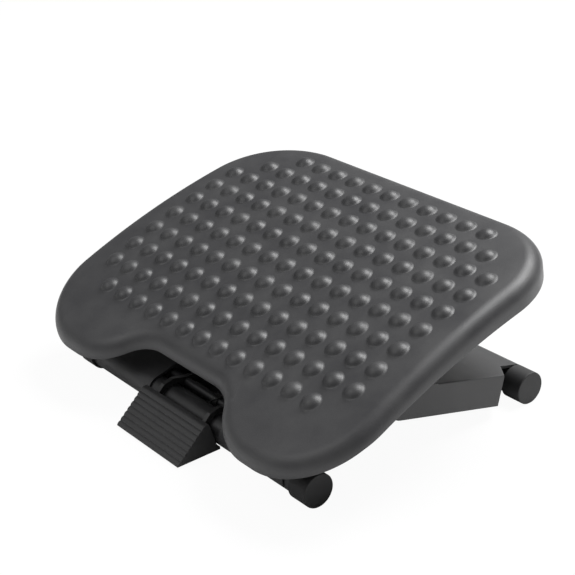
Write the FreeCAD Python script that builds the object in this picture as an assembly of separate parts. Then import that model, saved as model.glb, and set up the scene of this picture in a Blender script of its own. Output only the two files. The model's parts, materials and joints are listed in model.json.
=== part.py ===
import FreeCAD, Part
import math
import os
from FreeCAD import Vector

# Tilting under-desk footrest. Millimetres, +X to the user's right, +Y away from the user, +Z up.
# The origin lies on the floor, under the middle of the whole footrest.
# Lengths that belong to one leg are given in that leg's own frame: X as above, U along the leg from
# its foot bar to the hinge shaft, W square to the leg's top plate, zero at the bar's axis.
# Lengths that belong to the platform are in its own frame: X, V towards the toe edge from the middle
# row of bumps, and N up, square to the top surface there.

# Stance
bar_spacing = 286.0
leg_angle = 15.3
platform_tilt = 17.7

# Foot bars and their rubber caps
tube_radius = 15.0
tube_wall = 1.5
cap_radius = 17.75
cap_length = 24.0
cap_end_wall = 4.0
cap_edge_round = 1.2
cap_flat_width = 9.0
cap_overhang = 3.0

# Leg trays
tray_wall = 3.0
tray_skirt_drop = 1.3
front_tray_half_width = 165.0
rear_neck_gap = 1.0
rear_corner_length = 18.0
tray_bar_gap = 9.0
tray_edge_round = 1.5
lip_angle = 92.0
lip_end_wall = 0.9
plate_end_gap = 8.0
tube_seat_gap = 0.3
side_wall_overrun = 34.0

# Opening for the pedal in the front tray
window_half_width = 63.0
window_wall = 6.0
window_end_gap = 22.0

# Hinge shaft and the lugs that it passes through
shaft_radius = 5.0
shaft_overhang = 8.0
shaft_end_room = 13.0
lug_radius = 13.8
lug_thickness = 6.0
lug_reach = 62.0
running_gap = 0.06
side_gap = 0.3
washer_thickness = 1.4
washer_radius = 12.5
nut_across_flats = 16.0
nut_height = 5.0
outer_lug_inset = 10.0
outer_lug_thickness = 7.0
rear_inner_lug_gap = 6.0
spacer_thickness = 3.4
spacer_radius = 7.5
bracket_slot = 30.0

# Saddles that hold the foot bars in the trays
saddle_inset = 23.0
saddle_width = 24.0
saddle_block_low = -13.5
saddle_block_top = 5.0
saddle_block_length = 22.0
saddle_screw_setback = 11.0
saddle_screw_spacing = 13.0
boss_radius = 5.0
screw_radius = 1.7
screw_head_radius = 3.4
screw_head_height = 2.2
screw_bite = 7.0

# Platform plate
platform_arc_radius = 922.0
front_half_width = 251.0
plate_taper = 9.0
back_edge = 172.0
back_corner_radius = 102.0
lobe_edge = 211.5
lobe_outer_radius = 87.0
lobe_inner_radius = 78.0
lobe_flat = 17.0
waist_edge = 163.0
waist_curve_radius = 50.0
edge_roll = 15.5
platform_depth = 22.5
platform_wall = 3.0
rib_height = 9.0
rib_thickness = 2.5
rib_places_x = [0.0, 75.0, 150.0, 205.0]
rib_places_v = [-110.0, 50.0, 125.0]
pivot_drop = 88.4
pivot_offset = -25.0

# Bumps
bump_columns = 15
bump_rows = 10
bump_margin_x = 38.3
bump_margin_v = 36.3
bump_radius = 10.4
bump_height = 5.5
bump_root = 1.5

# Brackets that hang the platform on the shaft
bracket_start = 110.0
bracket_thickness = 8.0
bracket_seat_depth = 12.0
bracket_flange = 4.0
bracket_flange_width = 38.0
bracket_flange_length = 100.0
bracket_web_half = 42.0
bracket_screw_spacing_x = 26.0
bracket_screw_spacing_v = 80.0
bush_wall = 2.5

# Pedal
pedal_side_room = 7.6
pedal_back_gap = 6.5
pedal_bar_gap = 0.9
pedal_sole_back = 10.0
pedal_depth = 40.6
pedal_lift = 2.0
pedal_face_angle = 42.0
pedal_face_length = 49.0
pedal_wall = 3.5
pedal_rib_count = 8
pedal_rib_rise = 1.0
pedal_pin_u = 21.0
pedal_pin_w = 8.0
pedal_pin_radius = 3.0
sleeve_wall = 2.0

# Steel arms of the pedal
arm_inset = 17.0
arm_thickness = 5.0
arm_hub_radius = 6.0
arm_rib = 3.0
arm_face_gap = 0.8
arm_face_start = 18.0
arm_face_end = 42.0
arm_bar_gap = 2.6
arm_neck = 5.5
arm_screw_middle = 30.4
arm_screw_depth = 8.5
arm_screw_half_y = 4.5
arm_screw_half_z = 2.5
cross_rod_distance = 40.0
cross_rod_radius = 2.5
cross_rod_land = 4.5

# Return spring of the pedal
spring_wire = 1.4
spring_turns = 6
spring_pitch_share = 1.15
spring_start = 12.0
spring_leg = 15.0

# Friction brake that holds the height
brake_radius = 40.0
brake_plate = 4.0
brake_travel = 24.0
brake_margin = 5.0
brake_gap = 0.3
brake_hub_radius = 10.0
brake_tail = 62.0
brake_tail_half = 8.0
brake_pad_thickness = 4.0
brake_pad_half_angle = 8.0
brake_pad_width = 10.0
brake_lever_width = 12.0
brake_pin_distance = 50.3
brake_pin_w = 9.0
lever_foot_drop = 7.0
lever_arm_height = 5.0
lever_arm_overhang = 6.0
rivet_radius = 2.0
rivet_head_radius = 3.6
rivet_head = 1.6
rivet_places = [34.0, 52.0]

# Cover under the pedal's mechanism, screwed to the opening's side walls
cover_thickness = 2.0
cover_length = 73.0
cover_bar_gap = 1.5
cover_screw_margin = 9.0
cover_screw_spacing = 42.0

# How far a cutting tool runs past the face that it cuts
overcut = 1.0

# Places worked out from the sizes above
bar_height = math.sqrt(cap_radius ** 2 - (cap_flat_width / 2) ** 2)
leg_length = bar_spacing / 2 / math.cos(math.radians(leg_angle))
shaft_y = bar_spacing / 2
shaft_z = bar_height + shaft_y * math.tan(math.radians(leg_angle))
plate_top = cap_radius
plate_under = plate_top - tray_wall
plate_end = leg_length - plate_end_gap
tray_skirt = tube_radius + tray_skirt_drop
tray_back_wall = tube_radius + tray_bar_gap
washer_room = washer_thickness + 2 * side_gap
bracket_end = bracket_start + bracket_thickness
clevis_outer_start = bracket_end + washer_room
clevis_inner_start = bracket_start - washer_room - lug_thickness
front_outer_lug_start = front_tray_half_width - outer_lug_inset
front_outer_lug_end = front_outer_lug_start + outer_lug_thickness
rear_inner_lug_start = window_half_width + window_wall + rear_inner_lug_gap
rear_outer_lug_start = front_outer_lug_end + spacer_thickness + 2 * side_gap
rear_outer_lug_end = rear_outer_lug_start + outer_lug_thickness
nut_start = rear_outer_lug_end + washer_room
shaft_half_length = nut_start + shaft_overhang
rear_tray_half_width = shaft_half_length + shaft_end_room
bar_length = 2 * (rear_tray_half_width + cap_overhang)
cap_start = bar_length / 2 - cap_length
rear_neck_half_width = cap_start - rear_neck_gap
window_end = leg_length - window_end_gap
saddle_centre = front_tray_half_width - saddle_inset
saddle_block_reach = tray_back_wall + saddle_block_length
saddle_screw_place = tray_back_wall + saddle_screw_setback
back_half_width = front_half_width - plate_taper
lobe_inner_centre = front_half_width - lobe_outer_radius - lobe_flat
platform_under = platform_arc_radius - platform_wall
bump_pitch_x = 2 * (back_half_width - bump_margin_x) / (bump_columns - 1)
bump_pitch_v = 2 * (back_edge - bump_margin_v) / (bump_rows - 1)
pedal_half_width = window_half_width - pedal_side_room
pedal_back = tube_radius + pedal_back_gap
pedal_toe = pedal_back + pedal_depth
arm_start = pedal_half_width - arm_inset
arm_end = arm_start + arm_thickness
brake_pin_u = leg_length - brake_pin_distance
lever_foot_w = brake_pin_w - lever_foot_drop
cross_rod_u = brake_pin_u - cross_rod_distance
cross_rod_w = lever_foot_w - brake_gap - cross_rod_radius
cover_start = tray_back_wall + tray_wall + side_gap
cover_end = cover_start + cover_length
cover_half_width = window_half_width + window_wall

LEFT = -1
RIGHT = 1


def box(x0, x1, y0, y1, z0, z1):
    """A box between two corners."""
    return Part.makeBox(x1 - x0, y1 - y0, z1 - z0, Vector(x0, y0, z0))


def round_x(radius, x0, x1, y=0.0, z=0.0):
    """A cylinder along X."""
    return Part.makeCylinder(radius, x1 - x0, Vector(x0, y, z), Vector(1, 0, 0))


def ring_x(outer, inner, x0, x1, y=0.0, z=0.0):
    """A tube along X."""
    return round_x(outer, x0, x1, y, z).cut(round_x(inner, x0 - overcut, x1 + overcut, y, z))


def round_z(radius, z0, z1, x, y):
    """A cylinder along Z."""
    return Part.makeCylinder(radius, z1 - z0, Vector(x, y, z0), Vector(0, 0, 1))


def slab_x(points, x0, x1):
    """A polygon in the YZ plane, given as (y, z) points, drawn out along X."""
    wire = Part.makePolygon([Vector(x0, y, z) for y, z in points + points[:1]])
    return Part.Face(wire).extrude(Vector(x1 - x0, 0, 0))


def slab_z(points, z0, z1):
    """A polygon in the XY plane, given as (x, y) points, drawn out along Z."""
    wire = Part.makePolygon([Vector(x, y, z0) for x, y in points + points[:1]])
    return Part.Face(wire).extrude(Vector(0, 0, z1 - z0))


def hexagon_x(across_flats, x0, x1, y, z):
    """A hexagonal bar along X."""
    corner = across_flats / 2 / math.cos(math.pi / 6)
    angles = [math.radians(60 * i) for i in range(6)]
    return slab_x([(y + corner * math.cos(a), z + corner * math.sin(a)) for a in angles], x0, x1)


def fuse(shapes):
    """One solid out of several that overlap or share faces."""
    return shapes[0].multiFuse(shapes[1:]).removeSplitter()


def cut(shape, tools):
    """A solid with several others taken out of it."""
    return shape.cut(Part.makeCompound(tools))


def pair(shapes):
    """Separate solids kept together in one node."""
    return Part.makeCompound(shapes)


def sided(x0, x1, side):
    """The two X limits on the right side, mirrored for the left side."""
    return (x0, x1) if side == RIGHT else (-x1, -x0)


def with_mirrored(shapes):
    """Shapes of the right side together with their mirror images."""
    return shapes + [shape.mirror(Vector(0, 0, 0), Vector(1, 0, 0)) for shape in shapes]


def place_front(shape):
    """From the front leg's own frame to the footrest's frame."""
    placed = shape.copy()
    placed.rotate(Vector(0, 0, 0), Vector(1, 0, 0), leg_angle)
    placed.translate(Vector(0, 0, bar_height))
    return placed


def place_rear(shape):
    """From the rear leg's own frame, which faces the other way, to the footrest's frame."""
    placed = shape.mirror(Vector(0, 0, 0), Vector(0, 1, 0))
    placed.rotate(Vector(0, 0, 0), Vector(1, 0, 0), -leg_angle)
    placed.translate(Vector(0, bar_spacing, bar_height))
    return placed


def place_platform(shape):
    """From the platform's own frame to the footrest's frame: its pivot lands on the shaft."""
    placed = shape.copy()
    placed.translate(Vector(0, -pivot_offset, pivot_drop))
    placed.rotate(Vector(0, 0, 0), Vector(1, 0, 0), platform_tilt)
    placed.translate(Vector(0, shaft_y, shaft_z))
    return placed


def front_point(u, w):
    """A point of the front leg's frame as (y, z) of the footrest's frame."""
    a = math.radians(leg_angle)
    return u * math.cos(a) - w * math.sin(a), bar_height + u * math.sin(a) + w * math.cos(a)


# Foot bars

def foot_tube(y):
    """A round steel tube along X that ends against the caps' end walls."""
    half = bar_length / 2 - cap_end_wall
    return ring_x(tube_radius, tube_radius - tube_wall, -half, half, y, bar_height)


def foot_cap(y, side):
    """A rubber cup over one end of a foot bar, with a narrow flat where it stands."""
    x0, x1 = sided(cap_start, bar_length / 2, side)
    cup = round_x(cap_radius, x0, x1, y, bar_height)
    end_x = x1 if side == RIGHT else x0
    rim = [e for e in cup.Edges if e.Closed and abs(e.CenterOfMass.x - end_x) < 1e-6]
    cup = cup.makeFillet(cap_edge_round, rim)
    hollow = sided(cap_start - overcut, bar_length / 2 - cap_end_wall, side)
    floor_cut = box(x0 - overcut, x1 + overcut, y - cap_radius, y + cap_radius, -cap_radius, 0)
    return cut(cup, [round_x(tube_radius, hollow[0], hollow[1], y, bar_height), floor_cut])


# Leg trays, each in its own leg's frame

def fan(x0, x1, centre_u, radius, start, end):
    """A pie slice in the leg's frame, between two angles in degrees, about a point on the leg's axis."""
    points = [(centre_u, 0.0)]
    reach = radius / math.cos(math.radians((end - start) / 2))
    for angle in (start, (start + end) / 2, end):
        a = math.radians(angle)
        points.append((centre_u + reach * math.cos(a), reach * math.sin(a)))
    return slab_x(points, x0, x1)


def lip(half_width):
    """The front lip of a tray: it runs down round the foot bar from the plate and thins out."""
    seat = tube_radius + tube_seat_gap
    outer = seat + lip_end_wall
    shell = round_x(outer, -half_width, half_width, 0, plate_top - outer)
    shell = shell.cut(round_x(seat, -half_width - overcut, half_width + overcut))
    return shell.common(fan(-half_width, half_width, 0, plate_top, 90, 90 + lip_angle))


def lug(x0, x1, start):
    """A rib under the plate that ends in a round eye on the hinge shaft."""
    web = box(x0, x1, start, plate_end, -lug_radius, plate_under)
    neck = box(x0, x1, plate_end, leg_length, -lug_radius, lug_radius)
    return fuse([web, neck, round_x(lug_radius, x0, x1, leg_length, 0)])


def saddle_screw_xs(side):
    """Where the two screws of one saddle stand along X."""
    return [side * saddle_centre + offset for offset in (-saddle_screw_spacing / 2, saddle_screw_spacing / 2)]


def saddle_bosses():
    """The two bosses over one saddle that take its screws."""
    low = saddle_block_top
    top = plate_under + tray_wall / 2
    return [round_z(boss_radius, low, top, x, saddle_screw_place) for x in saddle_screw_xs(RIGHT)]


def saddle_screw_holes():
    """The screw holes in the bosses over one saddle."""
    low = saddle_block_top - overcut
    top = saddle_block_top + screw_bite
    return [round_z(screw_radius, low, top, x, saddle_screw_place) for x in saddle_screw_xs(RIGHT)]


def tray(outline, neck_half_width, lugs, tools):
    """A moulded tray, open underneath: a top plate with a skirt, a lip over the bar and hinge lugs."""
    block = slab_z(outline, -tray_skirt, plate_top)
    top_edges = [e for e in block.Edges if e.CenterOfMass.z > plate_top - tray_wall / 2]
    block = block.makeFillet(tray_edge_round, top_edges)
    inner = []
    for x, u in outline:
        inner.append((x - math.copysign(tray_wall, x), u + tray_wall if u < plate_end else u + overcut))
    shell = block.cut(slab_z(inner, -tray_skirt - overcut, plate_under))
    wall_end = tray_back_wall + tray_wall
    neck = box(-neck_half_width, neck_half_width, 0, wall_end, plate_under, plate_top)
    whole = fuse([shell, neck, lip(neck_half_width)] + with_mirrored(saddle_bosses()) + lugs)
    x0 = saddle_centre - saddle_width / 2 - side_gap
    x1 = saddle_centre + saddle_width / 2 + side_gap
    notch = box(x0, x1, tray_back_wall - overcut, wall_end + overcut, -tray_skirt - overcut, saddle_block_top)
    seat = round_x(tube_radius + tube_seat_gap, -neck_half_width - overcut, neck_half_width + overcut)
    return cut(whole, [seat] + with_mirrored([notch] + saddle_screw_holes()) + tools)


def bracket_slots():
    """The slots in the end of a tray's plate that the platform brackets pass through."""
    x0 = bracket_start - washer_room
    x1 = bracket_end + washer_room
    start = leg_length - bracket_slot
    return with_mirrored([box(x0, x1, start, leg_length, plate_under - overcut, plate_top + overcut)])


def front_tray():
    """The front leg, with the opening for the pedal and the clevises for the platform brackets."""
    half = front_tray_half_width
    outline = [(-half, tray_back_wall), (-half, plate_end), (half, plate_end), (half, tray_back_wall)]
    spans = [
        (window_half_width, window_half_width + window_wall, tray_back_wall),
        (clevis_inner_start, clevis_inner_start + lug_thickness, lug_reach),
        (clevis_outer_start, clevis_outer_start + lug_thickness, lug_reach),
        (front_outer_lug_start, front_outer_lug_end, lug_reach),
    ]
    lugs = with_mirrored([lug(x0, x1, start) for x0, x1, start in spans])
    deep = 2 * cap_radius
    window = box(-window_half_width, window_half_width, -deep, window_end, -deep, deep)
    shaft_bore = round_x(shaft_radius, -shaft_half_length, shaft_half_length, leg_length, 0)
    reach = window_half_width + window_wall
    pedal_bore = round_x(pedal_pin_radius, -reach, reach, pedal_pin_u, pedal_pin_w)
    brake_bore = round_x(pedal_pin_radius, -reach, reach, brake_pin_u, brake_pin_w)
    tools = [window, shaft_bore, pedal_bore, brake_bore] + cover_screw_shanks(-lug_radius - overcut)
    return place_front(tray(outline, half, lugs, tools + bracket_slots()))


def side_wall_end():
    """The end of the rear leg's side wall, which runs on past the hinge shaft."""
    x0 = rear_tray_half_width - tray_wall
    x1 = rear_tray_half_width
    end = leg_length + side_wall_overrun
    radius = (plate_top + tray_skirt) / 2
    wall = box(x0, x1, plate_end - tray_edge_round, end, -tray_skirt, plate_top)
    return fuse([wall, round_x(radius, x0, x1, end, plate_top - radius)])


def rear_tray():
    """The rear leg, with its corners cut back to the narrower neck over the bar."""
    half = rear_tray_half_width
    neck = rear_neck_half_width
    corner = tray_back_wall + rear_corner_length
    left = [(-neck, tray_back_wall), (-half, corner), (-half, plate_end)]
    right = [(-x, u) for x, u in reversed(left)]
    spans = [
        (rear_inner_lug_start, rear_inner_lug_start + lug_thickness),
        (rear_outer_lug_start, rear_outer_lug_end),
    ]
    lugs = with_mirrored([lug(x0, x1, lug_reach) for x0, x1 in spans] + [side_wall_end()])
    rib_end = leg_length - lug_radius - plate_end_gap / 4
    rib = box(brake_plate / 2, brake_plate / 2 + lug_thickness, lug_reach, rib_end, -lug_radius, plate_under)
    bore = round_x(shaft_radius + running_gap, -shaft_half_length, shaft_half_length, leg_length, 0)
    rivets = [round_x(rivet_radius, 0, half, leg_length - place, 0) for place in rivet_places]
    rivet_room = box(0, brake_plate + lug_thickness, 0, leg_length, -lug_radius, lug_radius)
    rivet_cut = pair(rivets).common(rivet_room)
    return place_rear(tray(left + right, neck, lugs + [rib], [bore, rivet_cut] + bracket_slots()))


def cover_screw_shanks(low):
    """The shanks of the cover's four screws, from a height up into the opening's side walls."""
    x = window_half_width + window_wall / 2
    first = cover_end - cover_screw_margin - cover_screw_spacing
    places = [first, first + cover_screw_spacing]
    top = screw_bite - lug_radius
    return with_mirrored([round_z(screw_radius, low, top, x, u) for u in places])


def mechanism_cover():
    """The flat cover that closes the front leg under the pedal's mechanism."""
    low = -lug_radius - cover_thickness
    plate = box(-cover_half_width, cover_half_width, cover_start, cover_end, low, -lug_radius)
    reach = window_half_width - side_gap
    tongue = box(-reach, reach, tube_radius + cover_bar_gap, cover_start, low, -lug_radius)
    return place_front(cut(fuse([plate, tongue]), cover_screw_shanks(low - overcut)))


def cover_screws():
    """The four screws of the cover."""
    low = -lug_radius - cover_thickness
    screws = []
    for shank in cover_screw_shanks(low):
        centre = shank.CenterOfMass
        head = round_z(screw_head_radius, low - screw_head_height, low, centre.x, centre.y)
        screws.append(head.fuse(shank))
    return place_front(pair(screws))


def saddle(side):
    """A moulded block that bears on the foot bar from behind and below, screwed up into the tray."""
    x0, x1 = sided(saddle_centre - saddle_width / 2, saddle_centre + saddle_width / 2, side)
    block = box(x0, x1, 0, saddle_block_reach, saddle_block_low, saddle_block_top)
    bearing = round_x(tube_radius + running_gap, x0 - overcut, x1 + overcut)
    low = saddle_block_low - overcut
    top = saddle_block_top + overcut
    holes = [round_z(screw_radius, low, top, x, saddle_screw_place) for x in saddle_screw_xs(side)]
    return cut(block, [bearing] + holes)


def saddle_screws(side):
    """The two screws of one saddle."""
    screws = []
    low = saddle_block_low
    top = saddle_block_top + screw_bite
    for x in saddle_screw_xs(side):
        head = round_z(screw_head_radius, low - screw_head_height, low, x, saddle_screw_place)
        shank = round_z(screw_radius, low, top, x, saddle_screw_place)
        screws.append(head.fuse(shank))
    return screws


# Hinge shaft and what is threaded on it

def hinge_shaft():
    """The steel rod that joins both legs and carries the platform."""
    return round_x(shaft_radius, -shaft_half_length, shaft_half_length, shaft_y, shaft_z)


def shaft_washer(x0, thickness, radius=washer_radius):
    """A washer on the shaft."""
    return ring_x(radius, shaft_radius + running_gap, x0, x0 + thickness, shaft_y, shaft_z)


def friction_washers(side):
    """The two washers that grip one platform bracket."""
    places = [bracket_start - side_gap - washer_thickness, bracket_end + side_gap]
    return pair([shaft_washer(sided(x, x + washer_thickness, side)[0], washer_thickness) for x in places])


def spacer_washers():
    """The spacers between the outer lugs of the two legs."""
    x = front_outer_lug_end + side_gap
    starts = [sided(x, x + spacer_thickness, s)[0] for s in (LEFT, RIGHT)]
    return pair([shaft_washer(start, spacer_thickness, spacer_radius) for start in starts])


def end_washers():
    """The washers under the two shaft nuts."""
    x = rear_outer_lug_end + side_gap
    return pair([shaft_washer(sided(x, x + washer_thickness, s)[0], washer_thickness) for s in (LEFT, RIGHT)])


def shaft_nut(side):
    """A locking nut on one end of the shaft."""
    x0, x1 = sided(nut_start, nut_start + nut_height, side)
    nut = hexagon_x(nut_across_flats, x0, x1, shaft_y, shaft_z)
    return nut.cut(round_x(shaft_radius, x0 - overcut, x1 + overcut, shaft_y, shaft_z))


# Platform, in its own frame

def surface_drop(v):
    """How far the arched top lies below its middle at a place V."""
    return platform_arc_radius - math.sqrt(platform_arc_radius ** 2 - v ** 2)


def arc_between(centre, radius, start, end):
    """An arc from one angle to another, in degrees, about a centre in the XV plane."""
    def at(angle):
        a = math.radians(angle)
        return Vector(centre[0] + radius * math.cos(a), centre[1] + radius * math.sin(a), 0)
    return Part.Arc(at(start), at((start + end) / 2), at(end)).toShape()


def platform_outline(inset):
    """The plate's outline seen from above, moved inwards by the inset.

    Right half, from the toe edge: a corner arc, a side that leans in towards the toe edge, the
    outer and inner arcs of the heel lobe, and the hollow arc that leads to the straight waist.
    """
    corner_r = back_corner_radius - inset
    outer_r = lobe_outer_radius - inset
    inner_r = lobe_inner_radius - inset
    hollow_r = waist_curve_radius + inset
    corner = (back_half_width - back_corner_radius, back_edge - back_corner_radius)
    outer = (front_half_width - lobe_outer_radius, lobe_outer_radius - lobe_edge)
    inner = (lobe_inner_centre, lobe_inner_radius - lobe_edge)
    along_x = corner[0] - outer[0]
    along_v = corner[1] - outer[1]
    apart = math.hypot(along_x, along_v)
    lean = math.degrees(math.atan2(along_v, along_x) - math.acos((outer_r - corner_r) / apart))
    rise = inner[1] + waist_edge + waist_curve_radius
    run = math.sqrt((lobe_inner_radius + waist_curve_radius) ** 2 - rise ** 2)
    hollow = (inner[0] - run, -waist_edge - waist_curve_radius)
    join = math.degrees(math.atan2(-rise, -run))
    right = [
        arc_between(corner, corner_r, 90, lean),
        arc_between(outer, outer_r, lean, -90),
        arc_between(inner, inner_r, -90, join),
        arc_between(hollow, hollow_r, join + 180, 90),
    ]
    edges = []
    for edge in right:
        points = [edge.valueAt(edge.FirstParameter), edge.valueAt(edge.LastParameter)]
        if edges and (points[0] - last).Length > 1e-6:
            edges.append(Part.makeLine(last, points[0]))
        edges.append(edge)
        last = points[1]
    mirrored = [e.mirror(Vector(0, 0, 0), Vector(1, 0, 0)) for e in edges]
    waist = Part.makeLine(last, Vector(-last.x, last.y, 0))
    first = edges[0].valueAt(edges[0].FirstParameter)
    toe = Part.makeLine(Vector(-first.x, first.y, 0), first)
    wires = Part.sortEdges(edges + mirrored + [waist, toe])
    return Part.Wire(wires[0])


def arched_block(inset, arc_radius, depth):
    """The plate's outline drawn down, with the arched top above it."""
    low = -depth - surface_drop(lobe_edge)
    prism = Part.Face(platform_outline(inset)).extrude(Vector(0, 0, -low))
    prism.translate(Vector(0, 0, low))
    reach = 2 * front_half_width
    barrel = round_x(arc_radius, -reach, reach, 0, -platform_arc_radius)
    core = round_x(platform_arc_radius - depth, -reach, reach, 0, -platform_arc_radius)
    for drum in (barrel, core):
        drum.rotate(Vector(0, 0, -platform_arc_radius), Vector(1, 0, 0), 180)
    return prism.common(barrel).cut(core)


def rolled_block(inset, depth):
    """The arched block with its top edge rolled all the way round."""
    arc_radius = platform_arc_radius - inset
    block = arched_block(inset, arc_radius, depth)
    centre = Vector(0, 0, -platform_arc_radius)
    rim = []
    for edge in block.Edges:
        middle = edge.valueAt((edge.FirstParameter + edge.LastParameter) / 2)
        flat = Vector(0, middle.y, middle.z)
        if abs((flat - centre).Length - arc_radius) < 0.01:
            rim.append(edge)
    return block.makeFillet(edge_roll - inset, rim)


def bump(x, v):
    """One round bump, square to the arched top, rooted in the plate."""
    ball = (bump_radius ** 2 + bump_height ** 2) / (2 * bump_height)
    angle = math.asin(v / platform_arc_radius)
    normal = Vector(0, math.sin(angle), math.cos(angle))
    depth = platform_arc_radius - (ball - bump_height)
    centre = Vector(0, 0, -platform_arc_radius) + normal * depth + Vector(x, 0, 0)
    low = math.degrees(math.asin((ball - bump_height - bump_root) / ball))
    return Part.makeSphere(ball, centre, normal, low, 90, 360)


def bump_rows_in(column):
    """The rows that hold bumps in one column: the two outer columns on each side are shorter."""
    from_edge = min(column, bump_columns - 1 - column)
    skip_front = 1 if from_edge == 0 else 0
    skip_back = max(0, 2 - from_edge)
    return range(skip_front, bump_rows - skip_back)


def bumps():
    """All the bumps on the plate."""
    shapes = []
    for column in range(bump_columns):
        x = (column - (bump_columns - 1) / 2) * bump_pitch_x
        for row in bump_rows_in(column):
            along = (row - (bump_rows - 1) / 2) * bump_pitch_v
            shapes.append(bump(x, platform_arc_radius * math.sin(along / platform_arc_radius)))
    return shapes


def bracket_screw_places(side):
    """Where the four screws of one bracket stand, as (x, v)."""
    middle = side * (bracket_start + bracket_thickness / 2)
    return [(middle + i * bracket_screw_spacing_x / 2, pivot_offset + j * bracket_screw_spacing_v / 2)
            for i in (-1, 1) for j in (-1, 1)]


def platform_ribs(hollow):
    """Stiffening ribs under the plate, cut to the hollow's shape."""
    reach = front_half_width
    band = round_x(platform_under, -reach, reach, 0, -platform_arc_radius)
    rib_low = platform_under - rib_height
    band = band.cut(round_x(rib_low, -reach - overcut, reach + overcut, 0, -platform_arc_radius))
    half = rib_thickness / 2
    deep = 2 * lobe_edge
    slabs = [box(x - half, x + half, -deep, deep, -deep, overcut) for x in rib_places_x]
    slabs += [box(-x - half, -x + half, -deep, deep, -deep, overcut) for x in rib_places_x if x > 0]
    slabs += [box(-reach, reach, v - half, v + half, -deep, overcut) for v in rib_places_v]
    grid = slabs[0].multiFuse(slabs[1:])
    return grid.common(band).common(hollow)


def platform_plate():
    """The moulded plate: rolled edge, ribs and screw bosses underneath, bumps on top."""
    outer = rolled_block(0.0, platform_depth)
    hollow = rolled_block(platform_wall, 2 * platform_depth)
    shell = outer.cut(hollow)
    bosses = []
    holes = []
    seat = -bracket_seat_depth
    for x, v in bracket_screw_places(LEFT) + bracket_screw_places(RIGHT):
        root = -surface_drop(v) - platform_wall / 2
        bosses.append(round_z(boss_radius, seat, root, x, v))
        holes.append(round_z(screw_radius, seat - overcut, seat + screw_bite, x, v))
    whole = shell.multiFuse([platform_ribs(hollow)] + bosses + bumps())
    return place_platform(cut(whole, holes))


def bracket(side):
    """A moulded bracket that hangs the platform on the shaft."""
    x0, x1 = sided(bracket_start, bracket_end, side)
    middle = (x0 + x1) / 2
    top = -bracket_seat_depth
    under = top - bracket_flange
    half_x = bracket_flange_width / 2
    half_v = bracket_flange_length / 2
    flange = box(middle - half_x, middle + half_x, pivot_offset - half_v, pivot_offset + half_v, under, top)
    eye = round_x(lug_radius, x0, x1, pivot_offset, -pivot_drop)
    foot = [(pivot_offset - lug_radius, -pivot_drop), (pivot_offset + lug_radius, -pivot_drop)]
    head = [(pivot_offset + bracket_web_half, under), (pivot_offset - bracket_web_half, under)]
    web = slab_x(foot + head, x0, x1)
    places = bracket_screw_places(side)
    holes = [round_z(screw_radius, under - overcut, top + overcut, x, v) for x, v in places]
    bore = round_x(shaft_radius + bush_wall, x0 - overcut, x1 + overcut, pivot_offset, -pivot_drop)
    return place_platform(cut(fuse([flange, web, eye]), holes + [bore]))


def bracket_screws(side):
    """The four screws of one bracket."""
    top = -bracket_seat_depth
    under = top - bracket_flange
    screws = []
    for x, v in bracket_screw_places(side):
        head = round_z(screw_head_radius, under - screw_head_height, under, x, v)
        screws.append(head.fuse(round_z(screw_radius, under, top + screw_bite, x, v)))
    return place_platform(pair(screws))


def tilt_bush(side):
    """The plain nylon bush in one bracket's eye."""
    x0, x1 = sided(bracket_start, bracket_end, side)
    outer = shaft_radius + bush_wall
    return ring_x(outer, shaft_radius + running_gap, x0, x1, shaft_y, shaft_z)


# Pedal

def pedal_face_point(along, rise):
    """A point on the pedal's sloping face as (y, z): along it from the toe, and out from it."""
    a = math.radians(pedal_face_angle)
    y = -pedal_toe + along * math.cos(a) - rise * math.sin(a)
    z = pedal_lift + along * math.sin(a) + rise * math.cos(a)
    return y, z


def pedal_treads(x):
    """The rounded treads up the sloping face, as arcs in the plane at X."""
    pitch = pedal_face_length / pedal_rib_count
    treads = []
    for i in range(pedal_rib_count):
        low = pedal_face_point(pitch * i, 0)
        crest = pedal_face_point(pitch * (i + 0.5), pedal_rib_rise)
        high = pedal_face_point(pitch * (i + 1), 0)
        treads.append(Part.Arc(*[Vector(x, y, z) for y, z in (low, crest, high)]).toShape())
    return treads


def pedal_pocket():
    """The outline of the hollow behind the pedal's face, as (y, z) points."""
    corner = pedal_wall / math.tan(math.radians(pedal_face_angle / 2))
    toe_y, toe_z = pedal_face_point(corner, -pedal_wall)
    top_z = pedal_face_point(pedal_face_length, 0)[1] - pedal_wall
    top_y = toe_y + (top_z - toe_z) / math.tan(math.radians(pedal_face_angle))
    open_y = overcut - pedal_sole_back
    return [(toe_y, toe_z), (top_y, top_z), (open_y, top_z), (open_y, toe_z)]


def pedal_shell():
    """The ribbed wedge: treads across its face, hollow from behind, with a sole under the foot bar."""
    x0 = -pedal_half_width
    edges = pedal_treads(x0)
    top_y, top_z = pedal_face_point(pedal_face_length, 0)
    toe_y, toe_z = pedal_face_point(0, 0)
    near_bar = tube_radius + pedal_bar_gap
    loop = [(top_y, top_z), (-pedal_back, top_z), (-near_bar, bar_height)]
    loop += [(-pedal_sole_back, bar_height), (-pedal_sole_back, toe_z), (toe_y, toe_z)]
    for (y0, z0), (y1, z1) in zip(loop, loop[1:]):
        edges.append(Part.makeLine(Vector(x0, y0, z0), Vector(x0, y1, z1)))
    body = Part.Face(Part.Wire(edges)).extrude(Vector(2 * pedal_half_width, 0, 0))
    body = body.cut(round_x(near_bar, x0 - overcut, pedal_half_width + overcut, 0, bar_height))
    side_pocket = slab_x(pedal_pocket(), arm_end + arm_rib, pedal_half_width - pedal_wall)
    pockets = with_mirrored([side_pocket]) + [slab_x(pedal_pocket(), -arm_end, arm_end)]
    holes = []
    for y, z in arm_screw_places():
        holes.append(round_x(screw_radius, arm_end - overcut, arm_end + arm_rib + overcut, y, z))
    return cut(body, pockets + with_mirrored(holes))


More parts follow.
